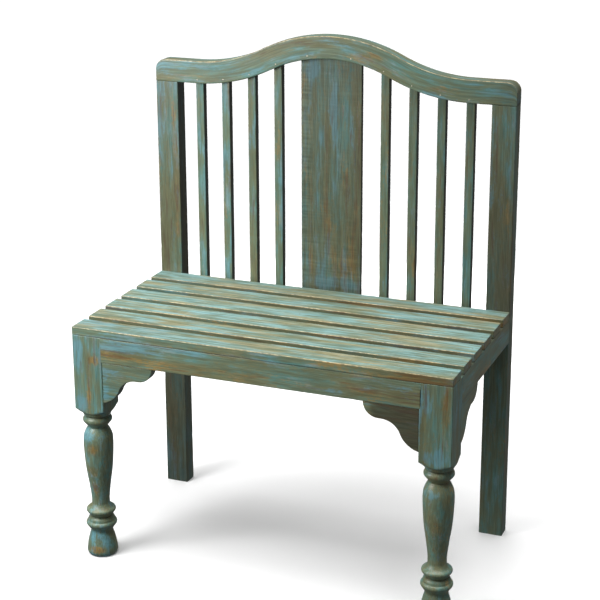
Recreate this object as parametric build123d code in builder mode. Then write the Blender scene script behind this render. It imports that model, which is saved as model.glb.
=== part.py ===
from build123d import *
import os
from math import asin, cos, radians, sin, sqrt

os.makedirs("parts", exist_ok=True)

# A small hall bench: slatted seat, spindle back under an arched crest rail, turned front legs.
# Millimetres. X runs along the bench, -Y is the front, Z is up.
# The origin is on the floor, under the middle of the bench's footprint.

# Driving dimensions
WIDTH = 750.0
SEAT_DEPTH = 381.0  # front of the legs to the front of the posts
SEAT_HEIGHT = 478.0
POST_WIDTH = 48.0
POST_DEPTH = 32.0

# Seat slats
SLAT_COUNT = 6
SLAT_BREADTH = 49.5
SLAT_THICKNESS = 16.0
SLAT_EASING = 1.8

# Seat frame
APRON_HEIGHT = 49.0
APRON_THICKNESS = 22.0
RAIL_THICKNESS = 26.0
BEARER_WIDTH = 30.0
BEARER_HEIGHT = 35.0

# Front legs: a square block above a turned lower part
LEG_SIZE = 61.5
SHOULDER_BOTTOM = 301.0
SHOULDER_TOP = 327.0

# Scrolled brackets
BRACKET_THICKNESS = 20.0
BRACKET_REACH = 105.0
BRACKET_DROP = 82.0

# Crest rail: straight ends, a crown in the middle and a hollow on each side of it
CREST_BAND = 45.0
CREST_END_BOTTOM = 882.0
CREST_RISE = 66.5
CREST_HALF_ARCH = 285.0
CREST_CORNER_RADIUS = 20.0
CREST_EASING = 2.5

# Back infill
SPINDLE_WIDTH = 17.0
SPINDLE_DEPTH = 15.0
SPINDLE_GAP = 40.0
SPINDLES_PER_SIDE = 4
SPLAT_WIDTH = 127.0
SPLAT_THICKNESS = 10.0
INFILL_RECESS = 11.5  # spindle face behind the crest face

# Easing of the long edges
POST_EASING = 1.5
SPINDLE_EASING = 1.0

# Joints
TENON_THICKNESS = 10.0
TENON_HEIGHT = 35.0
LEG_TENON_LENGTH = 28.0
SIDE_POST_TENON_LENGTH = 20.0
RAIL_TENON_LENGTH = 25.0
BEARER_TENON = (12.0, 12.0, 21.0)
POST_TENON = (26.0, 12.0, 25.0)
SPINDLE_TENON = 9.0
SPINDLE_TOP_TENON_LENGTH = 16.0
FOOT_TENON_LENGTH = 20.0
SPLAT_TENON = (104.0, 6.0)
SPLAT_TENON_TOP = 960.0
TENON_ROOT = 10.0  # how far a tenon starts inside its own piece, below a slanted shoulder

# Fasteners
BRAD_RADIUS = 0.8
BRAD_HEAD_RADIUS = 1.4
BRAD_HEAD_HEIGHT = 1.0
SLAT_BRAD_LENGTH = 35.0
CREST_BRAD_LENGTH = 20.0
CREST_BRAD_RISE = 7.0  # above the lower edge of the crest
SPLAT_BRAD_X = 45.0
APRON_BRAD_X = 180.0
BRACKET_BRAD_LENGTHS = (44.0, 50.0)
SCREW_RADIUS = 1.75
SCREW_HEAD_RADIUS = 3.6
SCREW_HEAD_HEIGHT = 2.6
SCREW_IN_BLOCK = 13.0
SCREW_IN_FRAME = 10.0
SCREW_OFFSET = 10.0  # from the block's square corner
SCREW_STAGGER = 9.0  # up and down, so that the two screws pass each other
COUNTERBORE_RADIUS = 4.5
COUNTERBORE_DEPTH = 20.0

# Corner blocks
BLOCK_LEG_FRONT = 35.0
BLOCK_LEG_REAR_X = 26.0
BLOCK_LEG_REAR_Y = 35.0
BLOCK_HEIGHT = 45.0

# Derived places
DEPTH = SEAT_DEPTH + POST_DEPTH
FRONT = -DEPTH / 2
BACK = DEPTH / 2
POST_FRONT = BACK - POST_DEPTH
HALF_WIDTH = WIDTH / 2
FRAME_TOP = SEAT_HEIGHT - SLAT_THICKNESS
FRAME_BOTTOM = FRAME_TOP - APRON_HEIGHT
FRAME_MID = (FRAME_TOP + FRAME_BOTTOM) / 2
SLAT_PITCH = (SEAT_DEPTH - SLAT_BREADTH) / (SLAT_COUNT - 1)
SLAT_CENTRES = [FRONT + SLAT_BREADTH / 2 + SLAT_PITCH * i for i in range(SLAT_COUNT)]
LEG_X = HALF_WIDTH - LEG_SIZE / 2
LEG_Y = FRONT + LEG_SIZE / 2
LEG_INNER = HALF_WIDTH - LEG_SIZE
LEG_REAR = FRONT + LEG_SIZE
POST_X = HALF_WIDTH - POST_WIDTH / 2
POST_Y = BACK - POST_DEPTH / 2
POST_INNER = HALF_WIDTH - POST_WIDTH
APRON_BACK = FRONT + APRON_THICKNESS
APRON_Y = FRONT + APRON_THICKNESS / 2
SIDE_X = HALF_WIDTH - APRON_THICKNESS / 2
SIDE_INNER = HALF_WIDTH - APRON_THICKNESS
RAIL_FRONT = POST_Y - RAIL_THICKNESS / 2
INFILL_Y = POST_FRONT + INFILL_RECESS + SPINDLE_DEPTH / 2
FIRST_SPINDLE_X = SPLAT_WIDTH / 2 + SPINDLE_GAP + SPINDLE_WIDTH / 2
SPINDLE_PITCH = SPINDLE_WIDTH + SPINDLE_GAP
RIGHT_SPINDLES = [FIRST_SPINDLE_X + SPINDLE_PITCH * i for i in range(SPINDLES_PER_SIDE)]
SPINDLE_CENTRES = sorted([-x for x in RIGHT_SPINDLES] + RIGHT_SPINDLES)

# The crest's top edge is two hollows and a crown of one radius; its lower edge is parallel.
CREST_END_TOP = CREST_END_BOTTOM + CREST_BAND
CREST_RADIUS = (CREST_HALF_ARCH**2 + CREST_RISE**2) / (4 * CREST_RISE)
CREST_TURN = asin(CREST_HALF_ARCH / 2 / CREST_RADIUS)
HOLLOW_CENTRE_Z = CREST_END_TOP + CREST_RADIUS
CROWN_CENTRE_Z = CREST_END_TOP + CREST_RISE - CREST_RADIUS
CREST_TOP = CREST_END_TOP + CREST_RISE
UNDER_CROWN_RADIUS = CREST_RADIUS - CREST_BAND
UNDER_HOLLOW_RADIUS = CREST_RADIUS + CREST_BAND

SIDES = {"left": -1, "right": 1}
HANG = (Align.CENTER, Align.CENTER, Align.MAX)  # below or behind its own place
UPRIGHT = (Align.CENTER, Align.CENTER, Align.MIN)


def save(piece, name):
    """Label one finished sub-part and write it under its node's name."""
    piece.part.label = name
    export_step(piece.part, f"parts/{name}.step")


def crest_underside(x):
    """Height of the crest's lower edge at x."""
    x = abs(x)
    if x <= UNDER_CROWN_RADIUS * sin(CREST_TURN):
        return CROWN_CENTRE_Z + sqrt(UNDER_CROWN_RADIUS**2 - x**2)
    if x < CREST_HALF_ARCH:
        return HOLLOW_CENTRE_Z - sqrt(UNDER_HOLLOW_RADIUS**2 - (CREST_HALF_ARCH - x) ** 2)
    return CREST_END_BOTTOM


def crest_edge(end_z, crown_radius):
    """One long edge of the crest, from end to end, as lines and arcs of the current BuildLine."""
    join_x = crown_radius * sin(CREST_TURN)
    join_z = CROWN_CENTRE_Z + crown_radius * cos(CREST_TURN)
    Line((-HALF_WIDTH, end_z), (-CREST_HALF_ARCH, end_z))
    TangentArc((-CREST_HALF_ARCH, end_z), (-join_x, join_z), tangent=(1, 0))
    ThreePointArc((-join_x, join_z), (0, CROWN_CENTRE_Z + crown_radius), (join_x, join_z))
    TangentArc((CREST_HALF_ARCH, end_z), (join_x, join_z), tangent=(-1, 0))
    Line((CREST_HALF_ARCH, end_z), (HALF_WIDTH, end_z))


def brad(place, length):
    """A brad whose head is flush at the plane's origin and whose shank runs against its normal."""
    with Locations(place):
        Cylinder(BRAD_HEAD_RADIUS, BRAD_HEAD_HEIGHT, align=HANG)
        Cylinder(BRAD_RADIUS, length, align=HANG)


# Brads

with BuildPart() as slat_brads:
    for slat_y in SLAT_CENTRES:
        for brad_x in (-SIDE_X, 0, SIDE_X):
            brad(Plane((brad_x, slat_y, SEAT_HEIGHT)), SLAT_BRAD_LENGTH)
    for brad_x in (-APRON_BRAD_X, APRON_BRAD_X):
        brad(Plane((brad_x, APRON_Y, SEAT_HEIGHT)), SLAT_BRAD_LENGTH)
save(slat_brads, "slat_brads")

with BuildPart() as crest_brads:
    for brad_x in SPINDLE_CENTRES + [-SPLAT_BRAD_X, SPLAT_BRAD_X]:
        brad_z = crest_underside(brad_x) + CREST_BRAD_RISE
        brad(Plane((brad_x, POST_FRONT, brad_z), z_dir=(0, -1, 0)), CREST_BRAD_LENGTH)
save(crest_brads, "crest_brads")


# Scrolled brackets: a lobe at the tip, a hollow, and a lobe that runs out on the leg

BRACKET_FLAT = (76.0, -29.0)
HOLLOW_START = (70.0, -29.0)
HOLLOW_MIDDLE = (47.0, -37.0)
HOLLOW_END = (33.5, -56.0)
TIP_RADIUS = -BRACKET_FLAT[1]
HOLLOW_END_SLOPE = radians(63)
UP = Vector(0, 0, 1)


def bracket_frame(name, side):
    """Inner top corner of a bracket, in the middle of its thickness, and the way it reaches."""
    if name == "front":
        return Vector(side * LEG_INNER, APRON_Y, FRAME_BOTTOM), Vector(-side, 0, 0)
    return Vector(side * SIDE_X, LEG_REAR, FRAME_BOTTOM), Vector(0, 1, 0)


BRACKETS = {
    f"bracket_{place}_{hand}": bracket_frame(place, side)
    for place in ("front", "side")
    for hand, side in SIDES.items()
}

with BuildPart() as bracket_brads:
    for corner, reach in BRACKETS.values():
        flat_u = (BRACKET_FLAT[0] + HOLLOW_START[0]) / 2
        upward = Plane(corner + reach * flat_u + UP * BRACKET_FLAT[1], z_dir=-UP)
        brad(upward, BRACKET_BRAD_LENGTHS[0])
        outward = reach * sin(HOLLOW_END_SLOPE) - UP * cos(HOLLOW_END_SLOPE)
        inward = Plane(corner + reach * HOLLOW_END[0] + UP * HOLLOW_END[1], z_dir=outward)
        brad(inward, BRACKET_BRAD_LENGTHS[1])
save(bracket_brads, "bracket_brads")

for bracket_name, (corner, reach) in BRACKETS.items():
    with BuildPart() as bracket:
        with BuildSketch(Plane(corner, x_dir=reach, z_dir=reach.cross(UP))):
            with BuildLine():
                Line((0, 0), (BRACKET_REACH, 0))
                RadiusArc((BRACKET_REACH, 0), BRACKET_FLAT, TIP_RADIUS)
                Line(BRACKET_FLAT, HOLLOW_START)
                hollow = ThreePointArc(HOLLOW_START, HOLLOW_MIDDLE, HOLLOW_END)
                TangentArc(HOLLOW_END, (0, -BRACKET_DROP), tangent=hollow % 1)
                Line((0, -BRACKET_DROP), (0, 0))
            make_face()
        extrude(amount=BRACKET_THICKNESS / 2, both=True)
        add(bracket_brads.part, mode=Mode.SUBTRACT)
    save(bracket, bracket_name)


# Corner blocks and their screws

FRONT_CORNER_Y = APRON_BACK
REAR_CORNER_Y = POST_FRONT
CORNERS = {
    # square corner (x, y), lengths along x and y, way it runs along y
    "front": (LEG_INNER, FRONT_CORNER_Y, BLOCK_LEG_FRONT, BLOCK_LEG_FRONT, 1),
    "rear": (SIDE_INNER, REAR_CORNER_Y, BLOCK_LEG_REAR_X, BLOCK_LEG_REAR_Y, -1),
}


def screw_places(corner_x, corner_y, way, side):
    """Planes of the two screw heads of one block; each normal points back out of the block."""
    seat_y = Vector(side * (corner_x - SCREW_OFFSET), corner_y + way * SCREW_IN_BLOCK)
    seat_x = Vector(side * (corner_x - SCREW_IN_BLOCK), corner_y + way * SCREW_OFFSET)
    return [
        Plane(seat_y + UP * (FRAME_MID + SCREW_STAGGER), z_dir=(0, way, 0)),
        Plane(seat_x + UP * (FRAME_MID - SCREW_STAGGER), z_dir=(-side, 0, 0)),
    ]


with BuildPart() as corner_block_screws:
    for corner_x, corner_y, _, _, way in CORNERS.values():
        for side in SIDES.values():
            with Locations(*screw_places(corner_x, corner_y, way, side)):
                Cone(SCREW_RADIUS, SCREW_HEAD_RADIUS, SCREW_HEAD_HEIGHT, align=HANG)
                Cylinder(SCREW_RADIUS, SCREW_IN_BLOCK + SCREW_IN_FRAME, align=HANG)
save(corner_block_screws, "corner_block_screws")

for corner_name, (corner_x, corner_y, length_x, length_y, way) in CORNERS.items():
    for hand, side in SIDES.items():
        with BuildPart() as corner_block:
            with BuildSketch(Plane.XY.offset(FRAME_MID - BLOCK_HEIGHT / 2)):
                with BuildLine():
                    Polyline(
                        (side * corner_x, corner_y),
                        (side * (corner_x - length_x), corner_y),
                        (side * corner_x, corner_y + way * length_y),
                        close=True,
                    )
                make_face()
            extrude(amount=BLOCK_HEIGHT)
            with Locations(*screw_places(corner_x, corner_y, way, side)):
                Cylinder(
                    COUNTERBORE_RADIUS, COUNTERBORE_DEPTH, align=UPRIGHT, mode=Mode.SUBTRACT
                )
            add(corner_block_screws.part, mode=Mode.SUBTRACT)
        save(corner_block, f"corner_block_{corner_name}_{hand}")


# Tenons. Each is drawn by one function, which also cuts its mortise.


def front_apron_tenon(side, mode=Mode.ADD):
    with Locations((side * (LEG_INNER + LEG_TENON_LENGTH / 2), APRON_Y, FRAME_MID)):
        Box(LEG_TENON_LENGTH, TENON_THICKNESS, TENON_HEIGHT, mode=mode)


def side_apron_front_tenon(side, mode=Mode.ADD):
    with Locations((side * SIDE_X, LEG_REAR - LEG_TENON_LENGTH / 2, FRAME_MID)):
        Box(TENON_THICKNESS, LEG_TENON_LENGTH, TENON_HEIGHT, mode=mode)


def side_apron_rear_tenon(side, mode=Mode.ADD):
    with Locations((side * SIDE_X, POST_FRONT + SIDE_POST_TENON_LENGTH / 2, FRAME_MID)):
        Box(TENON_THICKNESS, SIDE_POST_TENON_LENGTH, TENON_HEIGHT, mode=mode)


def rail_tenon(side, mode=Mode.ADD):
    with Locations((side * (POST_INNER + RAIL_TENON_LENGTH / 2), POST_Y, FRAME_MID)):
        Box(RAIL_TENON_LENGTH, TENON_THICKNESS, TENON_HEIGHT, mode=mode)


def bearer_tenons(mode=Mode.ADD):
    width, length, height = BEARER_TENON
    centre_z = FRAME_TOP - BEARER_HEIGHT / 2
    with Locations(
        (0, APRON_BACK - length / 2, centre_z), (0, RAIL_FRONT + length / 2, centre_z)
    ):
        Box(width, length, height, mode=mode)


def post_tenon(side, mode=Mode.ADD):
    with Locations((side * POST_X, POST_Y, CREST_END_BOTTOM)):
        Box(*POST_TENON, align=UPRIGHT, mode=mode)


def spindle_top_tenon(x, mode=Mode.ADD):
    top = crest_underside(x) + SPINDLE_TOP_TENON_LENGTH
    length = SPINDLE_TOP_TENON_LENGTH + TENON_ROOT
    with Locations((x, INFILL_Y, top)):
        Box(SPINDLE_TENON, SPINDLE_TENON, length, align=HANG, mode=mode)


def spindle_foot_tenon(x, mode=Mode.ADD):
    with Locations((x, INFILL_Y, FRAME_TOP)):
        Box(SPINDLE_TENON, SPINDLE_TENON, FOOT_TENON_LENGTH, align=HANG, mode=mode)


def splat_top_tenon(mode=Mode.ADD):
    width, thickness = SPLAT_TENON
    start = crest_underside(SPLAT_WIDTH / 2) - TENON_ROOT
    with Locations((0, INFILL_Y, start)):
        Box(width, thickness, SPLAT_TENON_TOP - start, align=UPRIGHT, mode=mode)


def splat_foot_tenon(mode=Mode.ADD):
    width, thickness = SPLAT_TENON
    with Locations((0, INFILL_Y, FRAME_TOP)):
        Box(width, thickness, FOOT_TENON_LENGTH, align=HANG, mode=mode)


# Seat frame

with BuildPart() as front_apron:
    with Locations((0, APRON_Y, FRAME_MID)):
        Box(2 * LEG_INNER, APRON_THICKNESS, APRON_HEIGHT)
    for side in SIDES.values():
        front_apron_tenon(side)
    bearer_tenons(mode=Mode.SUBTRACT)
    for fasteners in (slat_brads, bracket_brads, corner_block_screws):
        add(fasteners.part, mode=Mode.SUBTRACT)
save(front_apron, "front_apron")

for hand, side in SIDES.items():
    with BuildPart() as side_apron:
        with Locations((side * SIDE_X, (LEG_REAR + POST_FRONT) / 2, FRAME_MID)):
            Box(APRON_THICKNESS, POST_FRONT - LEG_REAR, APRON_HEIGHT)
        side_apron_front_tenon(side)
        side_apron_rear_tenon(side)
        for fasteners in (slat_brads, bracket_brads, corner_block_screws):
            add(fasteners.part, mode=Mode.SUBTRACT)
    save(side_apron, f"side_apron_{hand}")

with BuildPart() as rear_rail:
    with Locations((0, POST_Y, FRAME_MID)):
        Box(2 * POST_INNER, RAIL_THICKNESS, APRON_HEIGHT)
    for side in SIDES.values():
        rail_tenon(side)
    bearer_tenons(mode=Mode.SUBTRACT)
    for spindle_x in SPINDLE_CENTRES:
        spindle_foot_tenon(spindle_x, mode=Mode.SUBTRACT)
    splat_foot_tenon(mode=Mode.SUBTRACT)
save(rear_rail, "rear_rail")

with BuildPart() as seat_bearer:
    with Locations((0, (APRON_BACK + RAIL_FRONT) / 2, FRAME_TOP)):
        Box(BEARER_WIDTH, RAIL_FRONT - APRON_BACK, BEARER_HEIGHT, align=HANG)
    bearer_tenons()
    add(slat_brads.part, mode=Mode.SUBTRACT)
save(seat_bearer, "seat_bearer")

for number, slat_y in enumerate(SLAT_CENTRES, start=1):
    with BuildPart() as seat_slat:
        with Locations((0, slat_y, SEAT_HEIGHT)):
            Box(WIDTH, SLAT_BREADTH, SLAT_THICKNESS, align=HANG)
        long_top_edges = seat_slat.edges().filter_by(Axis.X).group_by(Axis.Z)[-1]
        fillet(long_top_edges, SLAT_EASING)
        add(slat_brads.part, mode=Mode.SUBTRACT)
    save(seat_slat, f"seat_slat_{number}")


# Turned front legs

for hand, side in SIDES.items():
    with BuildPart() as front_leg:
        with BuildSketch(Plane((side * LEG_X, LEG_Y, 0), x_dir=(1, 0, 0), z_dir=(0, -1, 0))):
            with BuildLine():
                # foot
                Line((0, 0), (25.5, 0))
                ThreePointArc((25.5, 0), (28.8, 4), (29.9, 11))
                ThreePointArc((29.9, 11), (26.8, 30.5), (21, 51))
                # lower bead: a sharp rim, with a small roll above it
                Line((21, 51), (28.6, 62.5))
                ThreePointArc((28.6, 62.5), (30.2, 67), (26.2, 72))
                ThreePointArc((26.2, 72), (25.6, 76.5), (20.3, 81))
                # upper bead: a sharp rim under a cove
                Line((20.3, 81), (27.4, 90.5))
                ThreePointArc((27.4, 90.5), (28.8, 94.5), (26.4, 98))
                ThreePointArc((26.4, 98), (21.2, 102), (17.6, 108))
                # neck and vase
                Spline(
                    (17.6, 108),
                    (17.7, 121),
                    (20.8, 148),
                    (26.1, 186),
                    (28.6, 222),
                    (28.6, 246),
                    (25.6, 258.5),
                    (18.2, 270),
                    tangents=[(0, 1), (-1, 0.8)],
                )
                # bead and collar under the block
                Line((18.2, 270), (26.0, 279.6))
                ThreePointArc((26.0, 279.6), (28.3, 284.6), (24.2, 291.5))
                Line((24.2, 291.5), (23.2, 294))
                ThreePointArc((23.2, 294), (26.8, 296.8), (28, SHOULDER_BOTTOM))
                # shoulder, which the block's faces cut through
                Line((28, SHOULDER_BOTTOM), (LEG_SIZE, SHOULDER_TOP))
                Line((LEG_SIZE, SHOULDER_TOP), (LEG_SIZE, FRAME_TOP))
                Line((LEG_SIZE, FRAME_TOP), (0, FRAME_TOP))
                Line((0, FRAME_TOP), (0, 0))
            make_face()
        revolve(axis=Axis((side * LEG_X, LEG_Y, 0), (0, 0, 1)))
        with Locations((side * LEG_X, LEG_Y, 0)):
            Box(LEG_SIZE, LEG_SIZE, FRAME_TOP, align=UPRIGHT, mode=Mode.INTERSECT)
        fillet(front_leg.edges().filter_by(Axis.Z), POST_EASING)
        front_apron_tenon(side, mode=Mode.SUBTRACT)
        side_apron_front_tenon(side, mode=Mode.SUBTRACT)
        for fasteners in (slat_brads, bracket_brads, corner_block_screws):
            add(fasteners.part, mode=Mode.SUBTRACT)
    save(front_leg, f"front_leg_{hand}")


# Rear posts

for hand, side in SIDES.items():
    with BuildPart() as rear_post:
        with Locations((side * POST_X, POST_Y, 0)):
            Box(POST_WIDTH, POST_DEPTH, CREST_END_BOTTOM, align=UPRIGHT)
        fillet(rear_post.edges().filter_by(Axis.Z), POST_EASING)
        chamfer(rear_post.faces().sort_by(Axis.Z)[0].edges(), POST_EASING * 0.8)
        post_tenon(side)
        side_apron_rear_tenon(side, mode=Mode.SUBTRACT)
        rail_tenon(side, mode=Mode.SUBTRACT)
        add(corner_block_screws.part, mode=Mode.SUBTRACT)
    save(rear_post, f"rear_post_{hand}")


# Back infill: each piece is cut off at its top along the crest's lower edge

with BuildPart() as above_crest_edge:
    with BuildSketch(Plane.XZ.offset(-BACK)):
        with BuildLine():
            crest_edge(CREST_END_BOTTOM, UNDER_CROWN_RADIUS)
            Polyline(
                (HALF_WIDTH, CREST_END_BOTTOM),
                (HALF_WIDTH, 2 * CREST_TOP),
                (-HALF_WIDTH, 2 * CREST_TOP),
                (-HALF_WIDTH, CREST_END_BOTTOM),
            )
        make_face()
    extrude(amount=POST_DEPTH)

for number, spindle_x in enumerate(SPINDLE_CENTRES, start=1):
    with BuildPart() as spindle:
        with Locations((spindle_x, INFILL_Y, FRAME_TOP)):
            Box(SPINDLE_WIDTH, SPINDLE_DEPTH, CREST_TOP - FRAME_TOP, align=UPRIGHT)
        fillet(spindle.edges().filter_by(Axis.Z), SPINDLE_EASING)
        add(above_crest_edge.part, mode=Mode.SUBTRACT)
        spindle_top_tenon(spindle_x)
        spindle_foot_tenon(spindle_x)
        add(crest_brads.part, mode=Mode.SUBTRACT)
    save(spindle, f"spindle_{number}")

with BuildPart() as back_splat:
    with Locations((0, INFILL_Y, FRAME_TOP)):
        Box(SPLAT_WIDTH, SPLAT_THICKNESS, CREST_TOP - FRAME_TOP, align=UPRIGHT)
    add(above_crest_edge.part, mode=Mode.SUBTRACT)
    splat_top_tenon()
    splat_foot_tenon()
    add(crest_brads.part, mode=Mode.SUBTRACT)
save(back_splat, "back_splat")


# Crest rail

with BuildPart() as crest_rail:
    with BuildSketch(Plane.XZ.offset(-BACK)) as crest_outline:
        with BuildLine():
            crest_edge(CREST_END_BOTTOM, UNDER_CROWN_RADIUS)
            crest_edge(CREST_END_TOP, CREST_RADIUS)
            for side in SIDES.values():
                Line((side * HALF_WIDTH, CREST_END_BOTTOM), (side * HALF_WIDTH, CREST_END_TOP))
        make_face()
        end_corners = crest_outline.vertices().filter_by_position(
            Axis.Y, CREST_END_TOP - 1, CREST_END_TOP + 1
        )
        outer_corners = end_corners.sort_by(Axis.X)
        fillet([outer_corners[0], outer_corners[-1]], CREST_CORNER_RADIUS)
    extrude(amount=POST_DEPTH)
    crown_edges = crest_rail.edges().filter_by(GeomType.CIRCLE).group_by(Axis.Z)[-1]
    fillet(crown_edges, CREST_EASING)
    for side in SIDES.values():
        post_tenon(side, mode=Mode.SUBTRACT)
    for spindle_x in SPINDLE_CENTRES:
        spindle_top_tenon(spindle_x, mode=Mode.SUBTRACT)
    splat_top_tenon(mode=Mode.SUBTRACT)
    add(crest_brads.part, mode=Mode.SUBTRACT)
save(crest_rail, "crest_rail")
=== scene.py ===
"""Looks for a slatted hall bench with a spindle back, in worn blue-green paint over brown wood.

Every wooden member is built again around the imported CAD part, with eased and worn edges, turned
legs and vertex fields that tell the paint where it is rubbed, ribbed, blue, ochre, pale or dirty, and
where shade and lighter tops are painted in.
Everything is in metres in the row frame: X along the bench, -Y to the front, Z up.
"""

import math
import random

import bmesh
import bpy
from mathutils import Matrix, Vector, noise


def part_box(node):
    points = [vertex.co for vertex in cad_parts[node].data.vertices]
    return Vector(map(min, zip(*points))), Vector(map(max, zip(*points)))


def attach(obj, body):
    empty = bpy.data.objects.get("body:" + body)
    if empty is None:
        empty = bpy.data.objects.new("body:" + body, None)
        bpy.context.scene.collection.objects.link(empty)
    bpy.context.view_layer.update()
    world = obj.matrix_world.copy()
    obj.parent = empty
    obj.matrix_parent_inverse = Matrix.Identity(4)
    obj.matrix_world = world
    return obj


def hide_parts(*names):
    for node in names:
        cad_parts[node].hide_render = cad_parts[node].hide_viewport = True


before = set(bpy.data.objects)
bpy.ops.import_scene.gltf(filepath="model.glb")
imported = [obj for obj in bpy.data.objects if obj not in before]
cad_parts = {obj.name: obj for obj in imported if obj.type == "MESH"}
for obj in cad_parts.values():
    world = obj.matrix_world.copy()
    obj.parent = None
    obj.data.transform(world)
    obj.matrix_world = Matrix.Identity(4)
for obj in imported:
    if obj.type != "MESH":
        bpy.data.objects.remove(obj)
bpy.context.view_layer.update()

MM = 0.001
X, Y, Z = 0, 1, 2
UP = Vector((0, 0, 1))

# ---------------------------------------------------------------- places taken from the frame

SEAT_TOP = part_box("seat_slat_1")[1].z
SEAT_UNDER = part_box("seat_slat_1")[0].z
CREST_LOW, CREST_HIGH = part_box("crest_rail")

# ---------------------------------------------------------------- sizes of the crest's curve

CREST_BAND = 45 * MM
CREST_RISE = 66.5 * MM
CREST_HALF_ARCH = 285 * MM
CREST_CORNER = 20 * MM
CREST_RADIUS = (CREST_HALF_ARCH**2 + CREST_RISE**2) / (4 * CREST_RISE)
CREST_TURN = math.asin(CREST_HALF_ARCH / 2 / CREST_RADIUS)
CREST_END_TOP = CREST_LOW.z + CREST_BAND
CROWN_CENTRE = CREST_HIGH.z - CREST_RADIUS
HOLLOW_CENTRE = CREST_END_TOP + CREST_RADIUS

# ---------------------------------------------------------------- how finely surfaces are cut

STEP = 7 * MM  # between rings along a member
RUB_REACH = 1.6 * MM  # how far wear fades out beside an arris
CORNER_CUTS = 3  # faces round one eased arris

# ---------------------------------------------------------------- waves, chips, easing and shoulders

WAVINESS = 0.25 * MM
CHIP_DEPTH = 0.5 * MM
CREST_CHIP_DEPTH = 0.9 * MM
LEG_CHIP_DEPTH = 0.35 * MM
SLAT_EASING = 1.5 * MM
FRAME_EASING = 1.2 * MM
POST_EASING = 1.6 * MM
CREST_EASING = 2.0 * MM
BRACKET_EASING = 1.3 * MM
END_EASING = 1.0 * MM
POST_END_EASING = 0.5 * MM
EASING_MIDDLE = 0.3  # where the ring between a face and an eased end lies
SHOULDER_SINK = 4 * MM  # how far a rail runs into the members beside it


# ================================================================ vertex fields and meshes


class Skin:
    """A closed surface made of rings of points, with the fields that the paint reads."""

    def __init__(self, node):
        self.node = node
        self.points = []
        self.grain = []
        self.rub = []
        self.tint = []
        self.ribs = []
        self.faces = []
        draw = random.Random(node)
        self.shift = Vector((draw.uniform(0, 40), draw.uniform(0, 40), draw.uniform(0, 40)))
        self.whim = Vector((draw.uniform(-1, 1), draw.uniform(-1, 1), draw.uniform(-1, 1)))

    def point(self, place, normal, grain, rub):
        """Adds one vertex and returns its number."""
        self.points.append(place)
        self.grain.append(Vector(grain) + self.shift)
        self.rub.append(rub)
        self.tint.append(tint_at(self.node, place, normal, self.whim))
        self.ribs.append(ribs_at(self.node, place, normal))
        return len(self.points) - 1

    def join(self, first, second):
        """Quads between two rings of the same length."""
        count = len(first)
        for i in range(count):
            j = (i + 1) % count
            self.faces.append((first[i], first[j], second[j], second[i]))

    def fan(self, ring, pole, flip):
        """Triangles between a ring and one point."""
        count = len(ring)
        for i in range(count):
            j = (i + 1) % count
            self.faces.append((ring[j], ring[i], pole) if flip else (ring[i], ring[j], pole))

    def piece(self):
        """Turns the rings into a painted mesh object that rides on the bench."""
        mesh = bpy.data.meshes.new(self.node + "_skin")
        mesh.from_pydata(self.points, [], self.faces)
        write_field(mesh, "grain", "FLOAT_VECTOR", "vector", self.grain)
        write_field(mesh, "tint", "FLOAT_COLOR", "color", self.tint)
        write_field(mesh, "rub", "FLOAT", "value", self.rub)
        write_field(mesh, "ribs", "FLOAT", "value", self.ribs)
        face_outwards(mesh)
        mesh.shade_smooth()
        mesh.materials.append(PAINT)
        made = bpy.data.objects.new(self.node + "_skin", mesh)
        bpy.context.scene.collection.objects.link(made)
        made.modifiers.new("even_shading", "WEIGHTED_NORMAL").keep_sharp = True
        settle(made, self.node)


def write_field(mesh, name, kind, member, values):
    """Stores one value for each vertex under a name that the paint reads."""
    field = mesh.attributes.new(name, kind, "POINT")
    flat = [number for value in values for number in value] if kind != "FLOAT" else values
    field.data.foreach_set(member, flat)


def face_outwards(mesh):
    """Turns every face of a closed mesh to the outside."""
    shell = bmesh.new()
    shell.from_mesh(mesh)
    bmesh.ops.recalc_face_normals(shell, faces=shell.faces)
    shell.to_mesh(mesh)
    shell.free()


def settle(piece, node):
    """Rides a finished piece on the bench in place of its CAD node."""
    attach(piece, "root")
    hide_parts(node)


def smooth(low, high, value):
    """0 below low, 1 above high, and an even curve between."""
    t = min(1.0, max(0.0, (value - low) / (high - low)))
    return t * t * (3 - 2 * t)
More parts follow.
